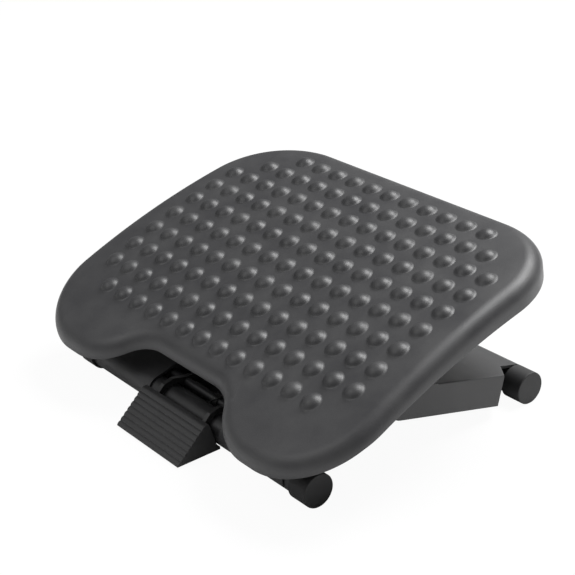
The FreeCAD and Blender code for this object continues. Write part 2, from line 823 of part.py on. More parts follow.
def arm_screw_places():
    """Where the two screws of one pedal arm stand, as (y, z)."""
    y, z = pedal_face_point(arm_screw_middle, -pedal_wall - arm_screw_depth)
    return [(y - arm_screw_half_y, z - arm_screw_half_z), (y + arm_screw_half_y, z + arm_screw_half_z)]


def bar_point(angle, radius):
    """A point round the front foot bar as (y, z), at an angle in degrees up from straight back."""
    a = math.radians(angle)
    return radius * math.cos(a), bar_height + radius * math.sin(a)


def pedal_arm(side):
    """A steel arm: from inside the pedal, over the foot bar, to the pin and on to the cross rod."""
    x0, x1 = sided(arm_start, arm_end, side)
    pin_y, pin_z = front_point(pedal_pin_u, pedal_pin_w)
    rod_y, rod_z = front_point(cross_rod_u, cross_rod_w)
    gap = pedal_wall + arm_face_gap
    inner = tube_radius + arm_bar_gap
    outer = inner + arm_neck
    points = [pedal_face_point(arm_face_start, -gap), pedal_face_point(arm_face_end, -gap)]
    points += [bar_point(angle, outer) for angle in (148, 118, 88)]
    points += [(pin_y, pin_z + arm_hub_radius), (rod_y, rod_z + cross_rod_land)]
    points += [(rod_y + cross_rod_land, rod_z), (rod_y, rod_z - cross_rod_land)]
    points += [(pin_y, pin_z - arm_hub_radius)]
    points += [bar_point(angle, inner) for angle in (60, 90, 120, 150, 170)]
    body = fuse([slab_x(points, x0, x1), round_x(arm_hub_radius, x0, x1, pin_y, pin_z)])
    cut_x0 = x0 - overcut
    cut_x1 = x1 + overcut
    holes = [round_x(screw_radius, cut_x0, cut_x1, y, z) for y, z in arm_screw_places()]
    holes.append(round_x(pedal_pin_radius + running_gap, cut_x0, cut_x1, pin_y, pin_z))
    holes.append(round_x(cross_rod_radius, cut_x0, cut_x1, rod_y, rod_z))
    return cut(body, holes)


def pedal_arm_screws():
    """The screws that hold both arms to the pedal's inner ribs."""
    screws = []
    for y, z in arm_screw_places():
        head = round_x(screw_head_radius, arm_start - screw_head_height, arm_start, y, z)
        shank = round_x(screw_radius, arm_start, arm_end + arm_rib, y, z)
        screws.append(head.fuse(shank))
    return pair(with_mirrored(screws))


def pedal_cross_rod():
    """The rod between the two pedal arms that lifts the brake lever."""
    y, z = front_point(cross_rod_u, cross_rod_w)
    return round_x(cross_rod_radius, -arm_end, arm_end, y, z)


def cross_pin(u, w):
    """A steel pin across the opening, held in its two side walls."""
    reach = window_half_width + window_wall
    return round_x(pedal_pin_radius, -reach, reach, *front_point(u, w))


def pin_sleeves(u, w, spans):
    """Plastic sleeves that keep their place on a cross pin between its levers."""
    y, z = front_point(u, w)
    outer = pedal_pin_radius + sleeve_wall
    inner = pedal_pin_radius + running_gap
    return pair([ring_x(outer, inner, x0, x1, y, z) for x0, x1 in spans])


def pedal_spring():
    """The torsion spring round the pedal pin's middle sleeve, with two straight legs."""
    y, z = front_point(pedal_pin_u, pedal_pin_w)
    coil_radius = pedal_pin_radius + sleeve_wall + side_gap + spring_wire / 2
    pitch = spring_wire * spring_pitch_share
    length = pitch * spring_turns
    helix = Part.makeHelix(pitch, length, coil_radius)
    profile = Part.Wire(Part.makeCircle(spring_wire / 2, Vector(coil_radius, 0, 0), Vector(0, 1, 0)))
    coil = Part.Wire(helix.Edges).makePipeShell([profile], True, True)
    legs = []
    for height, way in ((0.0, -1), (length, 1)):
        foot = Vector(coil_radius, 0, height)
        legs.append(Part.makeCylinder(spring_wire / 2, spring_leg, foot, Vector(0, way, 0)))
    spring = coil.multiFuse(legs)
    spring.rotate(Vector(0, 0, 0), Vector(0, 1, 0), 90)
    spring.rotate(Vector(0, 0, 0), Vector(1, 0, 0), 180)
    spring.translate(Vector(spring_start, y, z))
    return spring


# Friction brake

def brake_quadrant():
    """The steel sector on the rear leg that the brake pad grips, concentric with the shaft."""
    x0, x1 = -brake_plate / 2, brake_plate / 2
    start = -2 * leg_angle - brake_margin
    end = start + brake_travel + 2 * brake_margin
    disc = round_x(brake_radius, x0, x1, leg_length, 0)
    sector = disc.common(fan(x0, x1, leg_length, brake_radius + overcut, start, end))
    hub = round_x(brake_hub_radius, x0, x1, leg_length, 0)
    tail = box(x0, x1, leg_length - brake_tail, leg_length, -brake_tail_half, brake_tail_half)
    plate = fuse([sector, hub, tail])
    cut_x0 = x0 - overcut
    cut_x1 = x1 + overcut
    holes = [round_x(rivet_radius, cut_x0, cut_x1, leg_length - place, 0) for place in rivet_places]
    holes.append(round_x(shaft_radius + running_gap, cut_x0, cut_x1, leg_length, 0))
    return place_rear(cut(plate, holes))


def quadrant_rivets():
    """The rivets that hold the quadrant to the rear leg's rib."""
    rivets = []
    near = -brake_plate / 2
    far = brake_plate / 2 + lug_thickness
    for place in rivet_places:
        u = leg_length - place
        shank = round_x(rivet_radius, near, far, u, 0)
        heads = [round_x(rivet_head_radius, near - rivet_head, near, u, 0),
                 round_x(rivet_head_radius, far, far + rivet_head, u, 0)]
        rivets.append(fuse([shank] + heads))
    return place_rear(pair(rivets))


def brake_pad():
    """The friction block, concentric with the quadrant and just clear of its rim."""
    x0, x1 = -brake_pad_width / 2, brake_pad_width / 2
    inner = brake_radius + brake_gap
    outer = inner + brake_pad_thickness
    ring = ring_x(outer, inner, x0, x1, leg_length, 0)
    start = 180 - brake_pad_half_angle
    end = 180 + brake_pad_half_angle
    return place_front(ring.common(fan(x0, x1, leg_length, outer + overcut, start, end)))


def brake_lever():
    """The lever on the front leg: a block behind the pad, an eye on its pin and a front arm."""
    x0, x1 = -brake_lever_width / 2, brake_lever_width / 2
    back = brake_radius + brake_gap + brake_pad_thickness
    half = back * math.sin(math.radians(brake_pad_half_angle))
    block_u = leg_length - back + lever_arm_height / 2
    tip_u = cross_rod_u - lever_arm_overhang
    lower = [(block_u, -half), (brake_pin_u - lever_arm_height / 2, -half)]
    lower += [(brake_pin_u - 2 * lever_arm_height, lever_foot_w), (tip_u, lever_foot_w)]
    upper = [(tip_u, lever_foot_w + lever_arm_height), (brake_pin_u, brake_pin_w + arm_hub_radius)]
    points = lower + upper + [(block_u, half)]
    body = fuse([slab_x(points, x0, x1), round_x(arm_hub_radius, x0, x1, brake_pin_u, brake_pin_w)])
    cut_x0 = x0 - overcut
    cut_x1 = x1 + overcut
    seat = round_x(back, cut_x0, cut_x1, leg_length, 0)
    bore = round_x(pedal_pin_radius + running_gap, cut_x0, cut_x1, brake_pin_u, brake_pin_w)
    return place_front(cut(body, [seat, bore]))


def sleeve_spans(spaces):
    """Where sleeves lie on a pin: they fill the spaces beside the levers, but for a small gap."""
    return [(x0 + side_gap, x1 - side_gap) for x0, x1 in spaces]


def build():
    """Every node of the footrest by name."""
    wall = window_half_width
    lever_side = brake_lever_width / 2
    pedal_spans = sleeve_spans([(-wall, -arm_end), (-arm_start, arm_start), (arm_end, wall)])
    brake_spans = sleeve_spans([(-wall, -lever_side), (lever_side, wall)])
    nodes = {
        "front_foot_tube": foot_tube(0),
        "rear_foot_tube": foot_tube(bar_spacing),
        "front_leg_tray": front_tray(),
        "mechanism_cover": mechanism_cover(),
        "cover_screws": cover_screws(),
        "rear_leg_tray": rear_tray(),
        "hinge_shaft": hinge_shaft(),
        "spacer_washers": spacer_washers(),
        "shaft_end_washers": end_washers(),
        "platform_plate": platform_plate(),
        "pedal_shell": pedal_shell(),
        "pedal_arm_screws": pedal_arm_screws(),
        "pedal_cross_rod": pedal_cross_rod(),
        "pedal_pin": cross_pin(pedal_pin_u, pedal_pin_w),
        "pedal_pin_sleeves": pin_sleeves(pedal_pin_u, pedal_pin_w, pedal_spans),
        "pedal_spring": pedal_spring(),
        "brake_pin": cross_pin(brake_pin_u, brake_pin_w),
        "brake_pin_sleeves": pin_sleeves(brake_pin_u, brake_pin_w, brake_spans),
        "brake_lever": brake_lever(),
        "brake_pad": brake_pad(),
        "brake_quadrant": brake_quadrant(),
        "quadrant_rivets": quadrant_rivets(),
    }
    for side, name in ((LEFT, "left"), (RIGHT, "right")):
        nodes["front_cap_" + name] = foot_cap(0, side)
        nodes["rear_cap_" + name] = foot_cap(bar_spacing, side)
        nodes["front_saddle_" + name] = place_front(saddle(side))
        nodes["rear_saddle_" + name] = place_rear(saddle(side))
        nodes["friction_washers_" + name] = friction_washers(side)
        nodes["shaft_nut_" + name] = shaft_nut(side)
        nodes["platform_bracket_" + name] = bracket(side)
        nodes["bracket_screws_" + name] = bracket_screws(side)
        nodes["tilt_bush_" + name] = tilt_bush(side)
        nodes["pedal_arm_" + name] = pedal_arm(side)
    screws = saddle_screws(LEFT) + saddle_screws(RIGHT)
    nodes["front_saddle_screws"] = place_front(pair(screws))
    nodes["rear_saddle_screws"] = place_rear(pair(screws))
    return nodes


def middle_y(nodes):
    """The middle along Y: the pedal reaches furthest forward, the plate furthest back."""
    front = nodes["pedal_shell"].optimalBoundingBox().YMin
    back = nodes["platform_plate"].optimalBoundingBox().YMax
    return (front + back) / 2


os.makedirs("parts", exist_ok=True)
footrest = build()
origin_y = middle_y(footrest)
for name, shape in footrest.items():
    shape.translate(Vector(0, -origin_y, 0))
    shape.exportStep("parts/" + name + ".step")
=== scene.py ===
import json
import math

import bpy
import numpy as np
from mathutils import Matrix, Vector


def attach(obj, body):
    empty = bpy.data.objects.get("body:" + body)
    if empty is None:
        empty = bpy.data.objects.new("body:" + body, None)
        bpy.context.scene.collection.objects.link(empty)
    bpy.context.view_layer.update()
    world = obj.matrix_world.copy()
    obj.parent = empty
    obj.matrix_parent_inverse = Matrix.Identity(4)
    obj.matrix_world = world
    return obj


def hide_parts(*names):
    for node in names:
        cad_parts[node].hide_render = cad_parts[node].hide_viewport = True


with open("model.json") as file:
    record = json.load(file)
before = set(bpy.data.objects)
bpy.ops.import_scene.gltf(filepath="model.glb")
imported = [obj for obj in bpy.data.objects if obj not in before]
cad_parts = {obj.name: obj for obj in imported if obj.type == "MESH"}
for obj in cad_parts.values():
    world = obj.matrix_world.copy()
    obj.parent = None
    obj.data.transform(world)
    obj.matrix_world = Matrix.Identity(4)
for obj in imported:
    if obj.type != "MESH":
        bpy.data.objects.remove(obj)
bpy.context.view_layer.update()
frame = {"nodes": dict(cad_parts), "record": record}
MM = 0.001

# Sizes of the footplate in millimetres, in its own frame: X across, V towards the toe edge from the
# middle row of bumps, N up from the arched top.
ARCH_RADIUS = 922.0
FRONT_HALF_WIDTH = 251.0
BACK_HALF_WIDTH = 242.0
BACK_EDGE = 172.0
CORNER_RADIUS = 102.0
HEEL_EDGE = 211.5
HEEL_OUTER_RADIUS = 87.0
HEEL_INNER_RADIUS = 78.0
HEEL_INNER_CENTRE = 147.0
WAIST_EDGE = 163.0
WAIST_RADIUS = 50.0
ROLL = 15.5
RIM_DEPTH = 22.5
RIM_SLANT = 0.045
TOE_DROOP = 0.0005
TOE_DROOP_FROM = 120.0
WALL = 3.0
RIM_ROUND = 0.7
RIB_DEPTH = 9.0
RIB_THICKNESS = 2.5
RIBS_ACROSS_X = (0.0, 75.0, -75.0, 150.0, -150.0, 205.0, -205.0)
RIBS_ALONG_V = (-110.0, 50.0, 125.0)
RIB_END_GAP = 0.5
RIB_OVERLAP = 0.6
RIB_LEAST_DEPTH = 0.4
PIVOT_DROP = 88.4
PIVOT_OFFSET = -25.0
TILT = 17.7
BUMP_COLUMNS = 15
BUMP_ROWS = 10
BUMP_MARGIN = 36.3
BUMP_HALF_WIDTH = 240.0
BUMP_RADIUS = 10.4
BUMP_HEIGHT = 5.5
BUMP_FLARE = 1.6
BUMP_ROOT = -1.2
# The ball's cap is followed to this share of its angle. Then come the flare's points, as the distance
# beyond the bump's radius and the height.
BUMP_CAP_SHARE = 0.93
BUMP_SKIRT = ((0.1, 0.28), (BUMP_FLARE, -0.12), (-2.0, BUMP_ROOT))
SEAT_DEPTH = 12.0
BOSS_RADIUS = 5.0
BOSS_CORE = 0.01
BRACKET_MIDDLE = 114.0
BRACKET_SCREW_X = 13.0
BRACKET_SCREW_V = 40.0

# How fine the meshes are: points on the outline's four arcs, its straights, the rim's section and the rest.
ARC_POINTS = (40, 44, 22, 18)
SIDE_STEP = 12
WAIST_POINTS = 7
TOE_POINTS = 29
ROLL_POINTS = 13
BEND_POINTS = 4
FILL_RINGS = 24
CAP_RINGS = 6
BUMP_AROUND = 22
RIB_POINTS = 41
BOSS_AROUND = 24

# The photograph's camera, fitted to the plate, the bars and the caps: yaw, pitch and roll in degrees, the
# place in metres with its Y from the front bar, and the lens in pixels of a picture this wide.
CAMERA_TURN = (-52.594, 25.336, 2.678)
CAMERA_PLACE = (1.0891, -0.7062, 0.7666)
CAMERA_FOCUS = 1445.946
PICTURE_WIDTH = 575
SENSOR_WIDTH = 36.0

# The floor in metres. It lies a little under the caps, so that they don't share a plane.
FLOOR_HALF = 6.0
FLOOR_DROP = 0.0002
FLOOR_GLOW = 0.95
SKY_STRENGTH = 0.34

# Every finish's colour ramp runs between these values of its patches plus a share of its grain.
GRAIN_SHARE = 0.35
RAMP_LOW = 0.5
RAMP_HIGH = 0.9
ROUGHNESS_SPREAD = 0.05


def joint(name):
    """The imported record's joint of that name."""
    return next(j for j in frame["record"]["behaviour"]["joints"] if j["name"] == name)


SHAFT = np.array(joint("platform_tilt")["pos_m"])
BAR_TO_ORIGIN = -joint("front_leg_swing")["pos_m"][1]


def footplate_to_row(points):
    """Footplate millimetres to row-frame metres.

    The points are moved so that the pivot is at zero, turned by the tilt about X and set on the shaft.
    """
    x, v, n = points[..., 0], points[..., 1] - PIVOT_OFFSET, points[..., 2] + PIVOT_DROP
    c, s = math.cos(math.radians(TILT)), math.sin(math.radians(TILT))
    return np.stack([x, v * c - n * s, v * s + n * c], axis=-1) * MM + SHAFT


def arch(v):
    """How far the top lies below its middle at V: a circle's sagitta, and a square law more near the toe edge."""
    return ARCH_RADIUS - np.sqrt(ARCH_RADIUS**2 - v**2) + TOE_DROOP * np.maximum(0, v - TOE_DROOP_FROM) ** 2


def arc(centre, radius, start, end, count):
    """Points along a circle's arc, with the outward normals.

    Each point is the centre plus the radius times the unit vector of its angle, which is the normal.
    """
    a = np.radians(np.linspace(start, end, count))
    unit = np.stack([np.cos(a), np.sin(a)], axis=1)
    return np.array(centre) + radius * unit, unit


def footplate_outline():
    """The plate's edge seen from above as (points, outward normals), anticlockwise, closed.

    The right half is four tangent arcs: toe corner, heel lobe's outer and inner arcs, and the hollow that
    leads to the straight waist. The left half is the same with X turned about.
    """
    corner = np.array([BACK_HALF_WIDTH - CORNER_RADIUS, BACK_EDGE - CORNER_RADIUS])
    outer = np.array([FRONT_HALF_WIDTH - HEEL_OUTER_RADIUS, HEEL_OUTER_RADIUS - HEEL_EDGE])
    inner = np.array([HEEL_INNER_CENTRE, HEEL_INNER_RADIUS - HEEL_EDGE])
    gap = corner - outer
    narrowing = math.acos((HEEL_OUTER_RADIUS - CORNER_RADIUS) / np.hypot(*gap))
    lean = math.degrees(math.atan2(gap[1], gap[0]) - narrowing)
    rise = inner[1] + WAIST_EDGE + WAIST_RADIUS
    run = math.sqrt((HEEL_INNER_RADIUS + WAIST_RADIUS) ** 2 - rise**2)
    hollow = np.array([inner[0] - run, -WAIST_EDGE - WAIST_RADIUS])
    join = math.degrees(math.atan2(-rise, -run))
    spans = [
        arc(corner, CORNER_RADIUS, 90, lean, ARC_POINTS[0]),
        arc(outer, HEEL_OUTER_RADIUS, lean, -90, ARC_POINTS[1]),
        arc(inner, HEEL_INNER_RADIUS, -90, join, ARC_POINTS[2]),
    ]
    # The hollow bends the other way, so the plate's outward normals point to its centre.
    waist_arc, from_centre = arc(hollow, WAIST_RADIUS, join + 180, 90, ARC_POINTS[3])
    spans.append((waist_arc, -from_centre))
    points, normals = [], []
    for p, n in spans:
        if points:
            straight = p[0] - points[-1][-1]
            steps = np.linspace(0, 1, 2 + int(np.hypot(*straight) // SIDE_STEP))[1:-1, None]
            points.append(points[-1][-1] + steps * straight)
            normals.append(n[0] + steps * 0)
        points.append(p)
        normals.append(n)
    p, n = np.concatenate(points), np.concatenate(normals)
    turn = np.array([-1.0, 1.0])
    waist = np.linspace(1, -1, WAIST_POINTS + 2)[1:-1, None] * [p[-1, 0], 0] + [0, p[-1, 1]]
    toe = np.linspace(-1, 1, TOE_POINTS + 2)[1:-1, None] * [p[0, 0], 0] + [0, p[0, 1]]
    p = np.concatenate([p, waist, p[::-1] * turn, toe])
    n = np.concatenate([n, waist * 0 + [0, -1], n[::-1] * turn, toe * 0 + [0, 1]])
    return p[::-1], n[::-1]


def mesh_piece(name, verts, faces, sharp=40.0):
    """A mesh object at the origin from vertices in row-frame metres, smooth but for edges over the sharp angle."""
    mesh = bpy.data.meshes.new(name)
    mesh.from_pydata(verts.reshape(-1, 3).tolist(), [], faces)
    mesh.update()
    mesh.polygons.foreach_set("use_smooth", np.ones(len(mesh.polygons), dtype=bool))
    mesh.set_sharp_from_angle(angle=math.radians(sharp))
    obj = bpy.data.objects.new(name, mesh)
    bpy.context.collection.objects.link(obj)
    return obj


def ring_faces(rings, around):
    """Quads between neighbouring rings of a grid that closes round, as four index arrays side by side."""
    i = np.arange(rings - 1)[:, None] * around
    j = np.arange(around)[None, :]
    k = (j + 1) % around
    return np.stack([i + j, i + around + j, i + around + k, i + k], axis=-1).reshape(-1, 4)


def fan_faces(rings, around):
    """Triangles from a grid's first and last ring to the two points that come after the grid's own."""
    j = np.arange(around)
    k = (j + 1) % around
    first_tip, last_tip, last_ring = rings * around, rings * around + 1, (rings - 1) * around
    first = np.stack([j * 0 + first_tip, j, k], axis=1)
    last = np.stack([last_ring + j, j * 0 + last_tip, last_ring + k], axis=1)
    return first.tolist() + last.tolist()


def footplate_skin():
    """The moulded plate as one closed skin: rings of the outline moved inwards, each lowered by the arch.

    From the middle of the top the rings grow out to where the rim's roll starts, follow the roll's quarter
    circle down, turn round the rim's lower edge and run back up and in along the inner face. The rim's lower
    edge is moved straight down by a share of V, so the rim grows deeper towards the toe edge.
    """
    points, normals = footplate_outline()
    quarter = np.radians(np.linspace(90, 0, ROLL_POINTS))
    outer, inner = (
        np.stack([ROLL - radius * np.cos(quarter), -ROLL + radius * np.sin(quarter)], axis=1)
        for radius in (ROLL, ROLL - WALL)
    )
    inner = inner[::-1]
    low = -RIM_DEPTH + RIM_ROUND
    bend = np.radians(np.linspace(0, 90, BEND_POINTS))
    rim_out = np.stack([RIM_ROUND * (1 - np.cos(bend)), low - RIM_ROUND * np.sin(bend)], axis=1)
    rim_in = np.stack([WALL - rim_out[::-1, 0], rim_out[::-1, 1]], axis=1)
    profile = np.concatenate([outer, rim_out, rim_in, inner])
    fill = np.linspace(0, 1, FILL_RINGS + 2)[1:-1]
    start = points - ROLL * normals
    rings = [np.concatenate([start * r, np.zeros((len(start), 1))], axis=1) for r in fill]
    rings += [np.concatenate([points - d * normals, np.full((len(points), 1), h)], axis=1) for d, h in profile]
    rings += [np.concatenate([start * r, np.full((len(start), 1), -WALL)], axis=1) for r in fill[::-1]]
    grid = np.array(rings)
    rim = range(len(fill) + len(outer), len(fill) + len(outer) + len(rim_out) + len(rim_in))
    slant = RIM_SLANT * grid[rim, :, 1]
    grid[rim, :, 1] -= slant * math.sin(math.radians(TILT))
    grid[rim, :, 2] -= slant * math.cos(math.radians(TILT))
    verts = np.concatenate([grid.reshape(-1, 3), [[0, 0, 0], [0, 0, -WALL]]])
    verts[:, 2] -= arch(verts[:, 1])
    faces = ring_faces(len(rings), len(points)).tolist() + fan_faces(len(rings), len(points))
    return mesh_piece("footplate_skin", footplate_to_row(verts), faces)


def bump_places():
    """Where the bumps stand as (x, v): a grid in even steps across and along the arch.

    Three places are left out at each toe corner and one at each heel corner.
    """
    pitch_x = 2 * (BUMP_HALF_WIDTH - BUMP_MARGIN) / (BUMP_COLUMNS - 1)
    pitch_v = 2 * (BACK_EDGE - BUMP_MARGIN) / (BUMP_ROWS - 1)
    column, row = np.meshgrid(np.arange(BUMP_COLUMNS), np.arange(BUMP_ROWS), indexing="ij")
    from_edge = np.minimum(column, BUMP_COLUMNS - 1 - column)
    keep = (row >= (from_edge == 0)) & (row < BUMP_ROWS - np.maximum(0, 2 - from_edge))
    x = (column[keep] - (BUMP_COLUMNS - 1) / 2) * pitch_x
    along = (row[keep] - (BUMP_ROWS - 1) / 2) * pitch_v
    return np.stack([x, ARCH_RADIUS * np.sin(along / ARCH_RADIUS)], axis=1)


def footplate_bumps():
    """The round bumps: one dome's profile turned about its axis, copied to every place, square to the arch.

    The profile is a ball's cap that runs out into a small flare at the plate, then closes underneath.
    """
    ball = (BUMP_RADIUS**2 + BUMP_HEIGHT**2) / (2 * BUMP_HEIGHT)
    widest = math.asin(BUMP_RADIUS / ball)
    a = np.linspace(0, widest * BUMP_CAP_SHARE, CAP_RINGS + 1)[1:]
    radius = list(ball * np.sin(a)) + [BUMP_RADIUS + beyond for beyond, _ in BUMP_SKIRT]
    height = list(BUMP_HEIGHT - ball * (1 - np.cos(a))) + [level for _, level in BUMP_SKIRT]
    turn = np.linspace(0, 2 * np.pi, BUMP_AROUND, endpoint=False)
    sections = ((radius, np.cos(turn)), (radius, np.sin(turn)), (height, np.ones(BUMP_AROUND)))
    rings = np.stack([np.outer(size, way) for size, way in sections], axis=-1)
    dome = np.concatenate([rings.reshape(-1, 3), [[0, 0, BUMP_HEIGHT], [0, 0, BUMP_ROOT]]])
    faces = ring_faces(len(radius), BUMP_AROUND).tolist() + fan_faces(len(radius), BUMP_AROUND)
    places = bump_places()
    lean = np.arcsin(places[:, 1] / ARCH_RADIUS)
    foot = np.stack([places[:, 0], places[:, 1], -arch(places[:, 1])], axis=1)
    across = np.array([1.0, 0.0, 0.0])
    along = np.stack([lean * 0, np.cos(lean), -np.sin(lean)], axis=1)
    up = np.stack([lean * 0, np.sin(lean), np.cos(lean)], axis=1)
    verts = (
        foot[:, None, :]
        + dome[None, :, 0, None] * across
        + dome[None, :, 1, None] * along[:, None, :]
        + dome[None, :, 2, None] * up[:, None, :]
    )
    all_faces = [[i + n * len(dome) for i in f] for n in range(len(places)) for f in faces]
    return mesh_piece("footplate_bumps", footplate_to_row(verts), all_faces, sharp=60.0)


def inner_reach(values, axis):
    """How far the plate's inside reaches at given places, as pairs of the lowest and the highest value.

    They are where the inner edge crosses each line of constant X (axis 0) or V (axis 1).
    """
    points, normals = footplate_outline()
    edge = points - (WALL + RIB_END_GAP) * normals
    along = edge[:, 1 - axis]
    crossings = []
    for value in values:
        here = edge[:, axis] - value
        cross = np.nonzero(here * np.roll(here, -1) <= 0)[0]
        share = here[cross] / (here[cross] - np.roll(here, -1)[cross])
        at = along[cross] + share * (np.roll(along, -1)[cross] - along[cross])
        crossings.append((at.min(), at.max()))
    return crossings


def footplate_ribs():
    """The ribs under the plate: each a rectangle carried along its line and lowered by the arch.

    Near the rim its top follows the quarter circle of the roll's inner face, so that no rib shows outside.
    """
    verts, faces = [], []
    lines = [(0, x, reach) for x, reach in zip(RIBS_ACROSS_X, inner_reach(RIBS_ACROSS_X, 0))]
    lines += [(1, v, reach) for v, reach in zip(RIBS_ALONG_V, inner_reach(RIBS_ALONG_V, 1))]
    for axis, place, (low, high) in lines:
        steps = np.linspace(low, high, RIB_POINTS)
        edge = np.minimum(steps - low, high - steps)
        roll = ROLL - WALL
        rise = roll - np.sqrt(np.maximum(roll**2 - np.maximum(roll - edge, 0) ** 2, 0))
        top = -WALL + RIB_OVERLAP - rise
        under = np.minimum(np.full_like(steps, -WALL - RIB_DEPTH), top - RIB_LEAST_DEPTH)
        half = RIB_THICKNESS / 2
        corners = ((-half, top), (half, top), (half, under), (-half, under))
        section = np.stack([np.stack([steps, steps * 0 + place + side, n], axis=1) for side, n in corners], axis=1)
        # On a line of constant X the steps run along V.
        section = section[..., [1, 0, 2] if axis == 0 else [0, 1, 2]]
        section[..., 2] -= arch(section[..., 1])
        base = sum(len(v) for v in verts)
        verts.append(section.reshape(-1, 3))
        around = list(range(len(corners)))
        last_ring = len(corners) * (RIB_POINTS - 1)
        strip = ring_faces(RIB_POINTS, len(corners)).tolist() + [around[::-1], [last_ring + i for i in around]]
        faces += [[base + i for i in (f if axis == 1 else f[::-1])] for f in strip]
    return mesh_piece("footplate_ribs", footplate_to_row(np.concatenate(verts)), faces)


def footplate_bosses():
    """The round bosses that the bracket screws bite in: a rectangle turned about each screw's axis.

    The rectangle keeps a hair's breadth off the axis, so that each boss is a closed ring.
    """
    signs = np.array([[a, b, c] for a in (-1, 1) for b in (-1, 1) for c in (-1, 1)], dtype=float)
    x = signs[:, 0] * BRACKET_MIDDLE + signs[:, 1] * BRACKET_SCREW_X
    places = np.stack([x, PIVOT_OFFSET + signs[:, 2] * BRACKET_SCREW_V], axis=1)
    turn = np.linspace(0, 2 * np.pi, BOSS_AROUND, endpoint=False)
    unit = np.stack([np.cos(turn), np.sin(turn)], axis=1)
    verts, faces = [], []
    for n, place in enumerate(places):
        root = -arch(place[1]) - WALL / 2
        corners = ((BOSS_RADIUS, root), (BOSS_RADIUS, -SEAT_DEPTH), (BOSS_CORE, -SEAT_DEPTH), (BOSS_CORE, root))
        for radius, height in corners:
            verts.append(np.concatenate([place + radius * unit, np.full((BOSS_AROUND, 1), height)], axis=1))
        j = np.arange(BOSS_AROUND)
        k = (j + 1) % BOSS_AROUND
        last_ring = (len(corners) - 1) * BOSS_AROUND
        close = np.stack([last_ring + j, j, k, last_ring + k], axis=1)
        loop = np.concatenate([ring_faces(len(corners), BOSS_AROUND), close])
        faces += (loop + n * len(corners) * BOSS_AROUND).tolist()
    return mesh_piece("footplate_bosses", footplate_to_row(np.concatenate(verts)), faces)


# Materials


def linear(hex_colour):
    """An sRGB hex colour as linear red, green, blue and alpha."""
    parts = [int(hex_colour[i : i + 2], 16) / 255 for i in (1, 3, 5)]
    return [c / 12.92 if c <= 0.04045 else ((c + 0.055) / 1.055) ** 2.4 for c in parts] + [1.0]


def add(tree, kind, settings=None, links=None):
    """Adds a node, with its properties or input values by name and with sockets linked into its inputs."""
    node = tree.nodes.new(kind)
    for key, value in (settings or {}).items():
        if isinstance(key, str) and hasattr(node, key):
            setattr(node, key, value)
        else:
            node.inputs[key].default_value = value
    for key, socket in (links or {}).items():
        tree.links.new(socket, node.inputs[key])
    return node


def noise_settings(size_mm, detail):
    """Settings of a noise whose largest features have that size."""
    return {"Scale": 1 / (size_mm * MM), "Detail": detail, "Roughness": 0.6}


def grained(name, low, high, roughness, grain_mm, depth_mm, patch_mm=40.0, shader=None):
    """A moulded or coated surface with a fine random grain.

    Colour runs between two close tones over soft patches, the grain's height drives the bump, and roughness
    rises a little where the patches are light.
    """
    material = bpy.data.materials.new(name)
    material.use_nodes = True
    tree = material.node_tree
    tree.nodes.clear()
    place = add(tree, "ShaderNodeTexCoord").outputs["Object"]
    grain = add(tree, "ShaderNodeTexNoise", noise_settings(grain_mm, 3.0), {"Vector": place})
    patch = add(tree, "ShaderNodeTexNoise", noise_settings(patch_mm, 4.0), {"Vector": place})
    mixing = {"operation": "MULTIPLY_ADD", 1: GRAIN_SHARE}
    both = add(tree, "ShaderNodeMath", mixing, {0: grain.outputs[0], 2: patch.outputs[0]})
    tone = add(tree, "ShaderNodeValToRGB", {}, {"Fac": both.outputs[0]})
    ramp = tone.color_ramp
    ramp.elements[0].position, ramp.elements[0].color = RAMP_LOW, linear(low)
    ramp.elements[1].position, ramp.elements[1].color = RAMP_HIGH, linear(high)
    limits = {"To Min": roughness - ROUGHNESS_SPREAD, "To Max": roughness + ROUGHNESS_SPREAD}
    rough = add(
        tree, "ShaderNodeMapRange", {"From Min": 0.3, "From Max": 0.7, **limits}, {"Value": patch.outputs[0]}
    )
    bump = add(tree, "ShaderNodeBump", {"Strength": 1.0, "Distance": depth_mm * MM}, {"Height": grain.outputs[0]})
    surface = add(
        tree,
        "ShaderNodeBsdfPrincipled",
        shader,
        {"Base Color": tone.outputs["Color"], "Roughness": rough.outputs[0], "Normal": bump.outputs[0]},
    )
    add(tree, "ShaderNodeOutputMaterial", {}, {"Surface": surface.outputs[0]})
    return material


